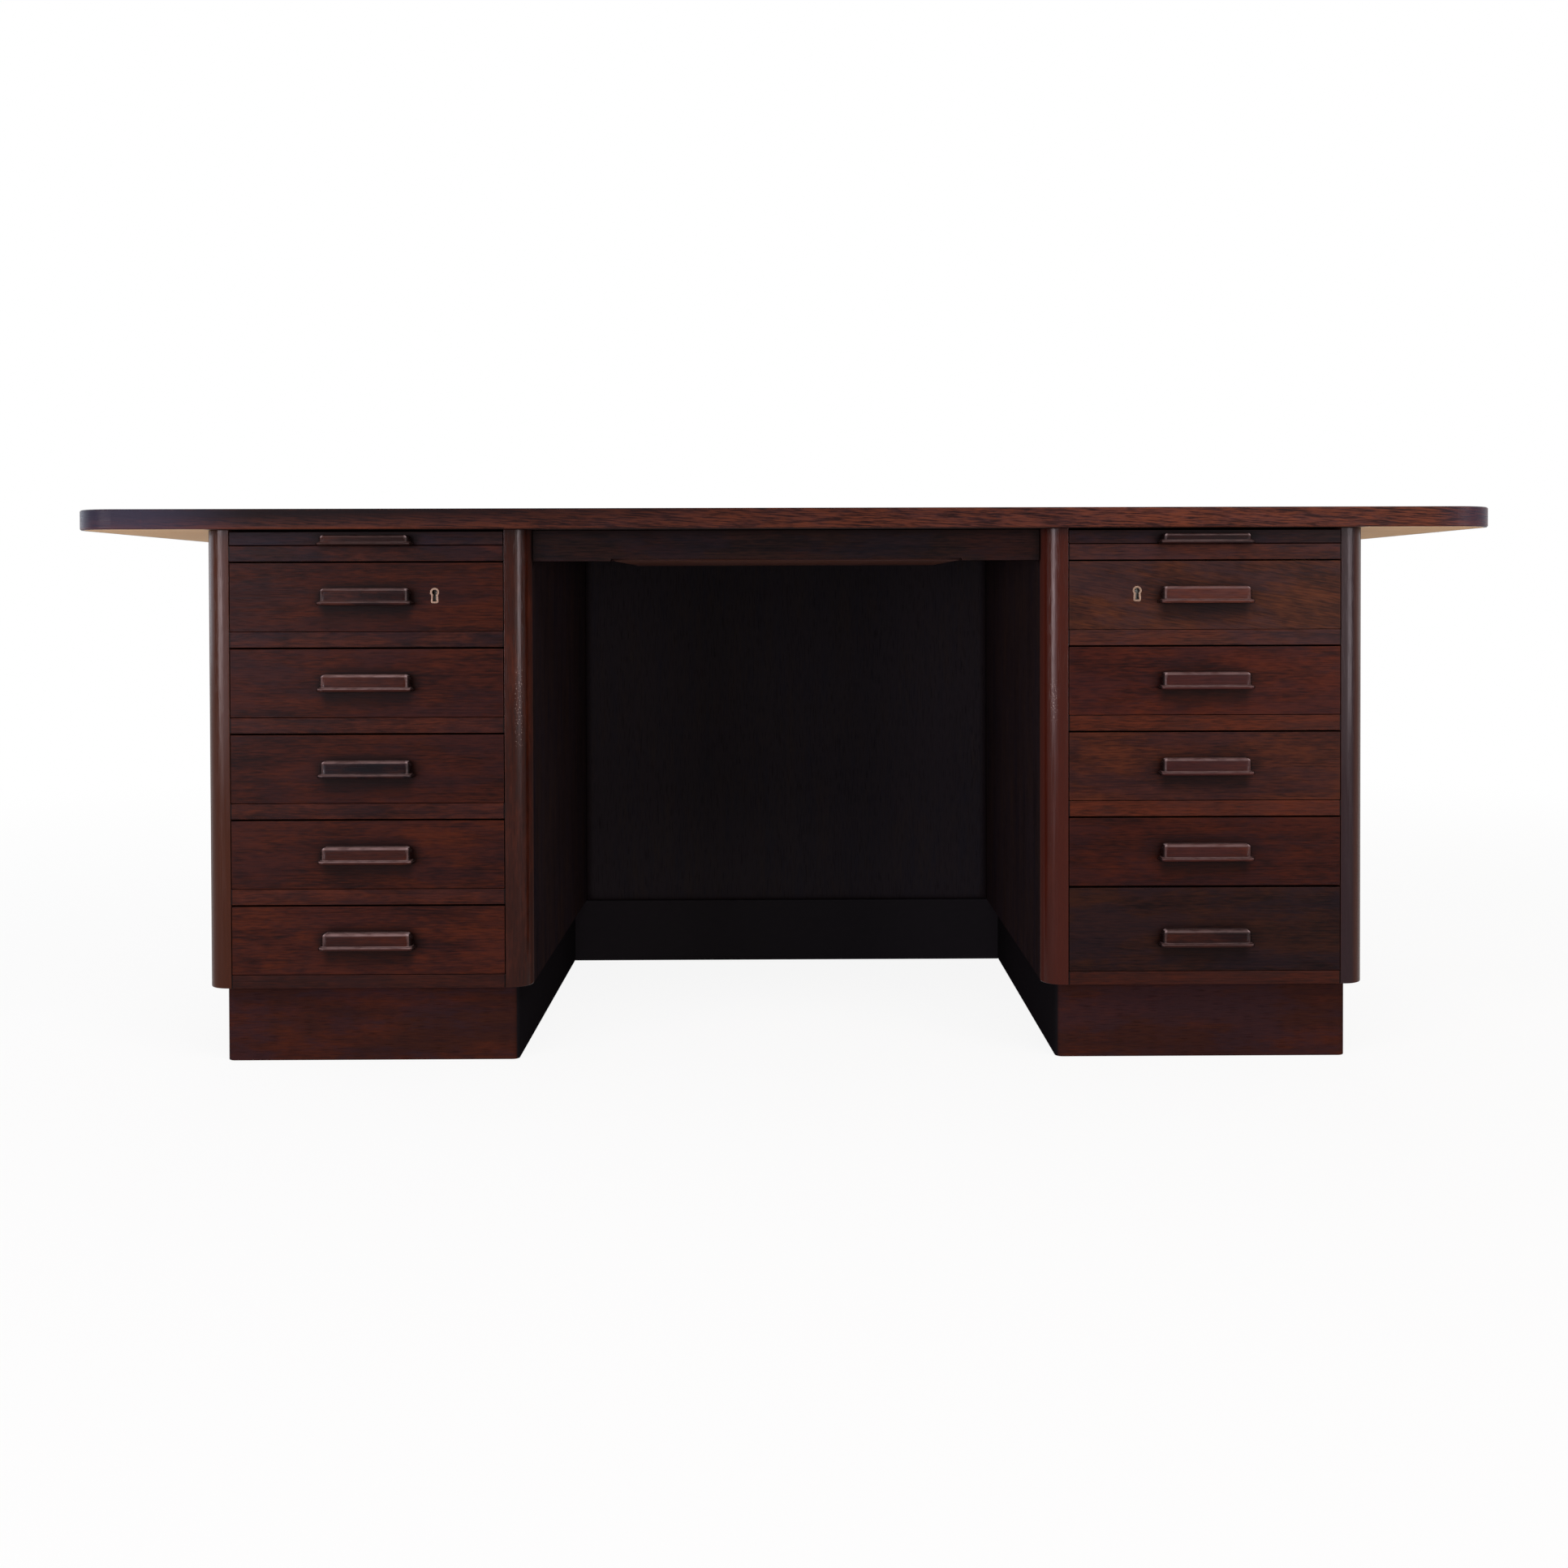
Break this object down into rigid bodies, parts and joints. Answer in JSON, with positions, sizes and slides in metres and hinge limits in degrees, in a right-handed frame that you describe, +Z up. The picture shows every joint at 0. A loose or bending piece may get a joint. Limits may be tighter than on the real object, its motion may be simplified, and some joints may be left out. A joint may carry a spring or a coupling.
{
  "type": "pedestal desk",
  "caption": "Free-standing pedestal desk with an overhanging top, rounded posts, flush drawers with carved wooden pulls, pull-out writing slides and a shallow drawer over the kneehole.",
  "frame": {"origin": "on the floor, under the middle of the top", "axes": "+X along the top to the sitter's right, +Y from the drawers to the back, +Z up"},
  "size_m": [1.922, 0.844, 0.751],
  "materials": {
    "rosewood": "satin lacquer",
    "drawer_wood": "bare, planed",
    "core_wood": "bare veneer",
    "brass": "dull polish",
    "lock_steel": "plain"
  },
  "bodies": {
    "desk": {"top_core": "core_wood", "top_veneer": "rosewood", "top_lipping": "rosewood", "top_tenons": "drawer_wood", "front_posts": "rosewood", "rear_posts": "rosewood", "pedestal_backs": "rosewood", "pedestal_bottoms": "drawer_wood", "drawer_runners": "drawer_wood", "drawer_stops": "drawer_wood", "plinth": "rosewood", "modesty_panel": "rosewood", "left_inner_side": "rosewood", "left_outer_side": "rosewood", "left_rails": "rosewood", "right_inner_side": "rosewood", "right_outer_side": "rosewood", "right_rails": "rosewood"},
    "pencil_drawer": {"pencil_drawer_front": "rosewood", "pencil_drawer_box": "drawer_wood"},
    "left_slide": {"left_slide_board": "rosewood", "left_slide_pull": "rosewood"},
    "left_drawer_1": {"left_drawer_1_front": "rosewood", "left_drawer_1_box": "drawer_wood", "left_drawer_1_pull": "rosewood", "left_lock_case": "lock_steel", "left_escutcheon": "brass"},
    "left_drawer_2": {"left_drawer_2_front": "rosewood", "left_drawer_2_box": "drawer_wood", "left_drawer_2_pull": "rosewood"},
    "left_drawer_3": {"left_drawer_3_front": "rosewood", "left_drawer_3_box": "drawer_wood", "left_drawer_3_pull": "rosewood"},
    "left_drawer_4": {"left_drawer_4_front": "rosewood", "left_drawer_4_box": "drawer_wood", "left_drawer_4_pull": "rosewood"},
    "left_drawer_5": {"left_drawer_5_front": "rosewood", "left_drawer_5_box": "drawer_wood", "left_drawer_5_pull": "rosewood"},
    "left_lock_bolt": {"left_lock_bolt": "lock_steel"},
    "right_slide": {"right_slide_board": "rosewood", "right_slide_pull": "rosewood"},
    "right_drawer_1": {"right_drawer_1_front": "rosewood", "right_drawer_1_box": "drawer_wood", "right_drawer_1_pull": "rosewood", "right_lock_case": "lock_steel", "right_escutcheon": "brass"},
    "right_drawer_2": {"right_drawer_2_front": "rosewood", "right_drawer_2_box": "drawer_wood", "right_drawer_2_pull": "rosewood"},
    "right_drawer_3": {"right_drawer_3_front": "rosewood", "right_drawer_3_box": "drawer_wood", "right_drawer_3_pull": "rosewood"},
    "right_drawer_4": {"right_drawer_4_front": "rosewood", "right_drawer_4_box": "drawer_wood", "right_drawer_4_pull": "rosewood"},
    "right_drawer_5": {"right_drawer_5_front": "rosewood", "right_drawer_5_box": "drawer_wood", "right_drawer_5_pull": "rosewood"},
    "right_lock_bolt": {"right_lock_bolt": "lock_steel"}
  },
  "joints": [
    {"name": "pencil_drawer_pull_out", "type": "slide", "parent": "desk", "child": "pencil_drawer", "axis": [0, -1, 0], "range_m": [0, 0.3]},
    {"name": "left_slide_pull_out", "type": "slide", "parent": "desk", "child": "left_slide", "axis": [0, -1, 0], "range_m": [0, 0.36]},
    {"name": "left_drawer_1_pull_out", "type": "slide", "parent": "desk", "child": "left_drawer_1", "axis": [0, -1, 0], "range_m": [0, 0.45]},
    {"name": "left_drawer_2_pull_out", "type": "slide", "parent": "desk", "child": "left_drawer_2", "axis": [0, -1, 0], "range_m": [0, 0.45]},
    {"name": "left_drawer_3_pull_out", "type": "slide", "parent": "desk", "child": "left_drawer_3", "axis": [0, -1, 0], "range_m": [0, 0.45]},
    {"name": "left_drawer_4_pull_out", "type": "slide", "parent": "desk", "child": "left_drawer_4", "axis": [0, -1, 0], "range_m": [0, 0.45]},
    {"name": "left_drawer_5_pull_out", "type": "slide", "parent": "desk", "child": "left_drawer_5", "axis": [0, -1, 0], "range_m": [0, 0.45]},
    {"name": "left_lock_throw", "type": "slide", "parent": "left_drawer_1", "child": "left_lock_bolt", "axis": [0, 0, 1], "range_m": [0, 0.008]},
    {"name": "right_slide_pull_out", "type": "slide", "parent": "desk", "child": "right_slide", "axis": [0, -1, 0], "range_m": [0, 0.36]},
    {"name": "right_drawer_1_pull_out", "type": "slide", "parent": "desk", "child": "right_drawer_1", "axis": [0, -1, 0], "range_m": [0, 0.45]},
    {"name": "right_drawer_2_pull_out", "type": "slide", "parent": "desk", "child": "right_drawer_2", "axis": [0, -1, 0], "range_m": [0, 0.45]},
    {"name": "right_drawer_3_pull_out", "type": "slide", "parent": "desk", "child": "right_drawer_3", "axis": [0, -1, 0], "range_m": [0, 0.45]},
    {"name": "right_drawer_4_pull_out", "type": "slide", "parent": "desk", "child": "right_drawer_4", "axis": [0, -1, 0], "range_m": [0, 0.45]},
    {"name": "right_drawer_5_pull_out", "type": "slide", "parent": "desk", "child": "right_drawer_5", "axis": [0, -1, 0], "range_m": [0, 0.45]},
    {"name": "right_lock_throw", "type": "slide", "parent": "right_drawer_1", "child": "right_lock_bolt", "axis": [0, 0, 1], "range_m": [0, 0.008]}
  ]
}
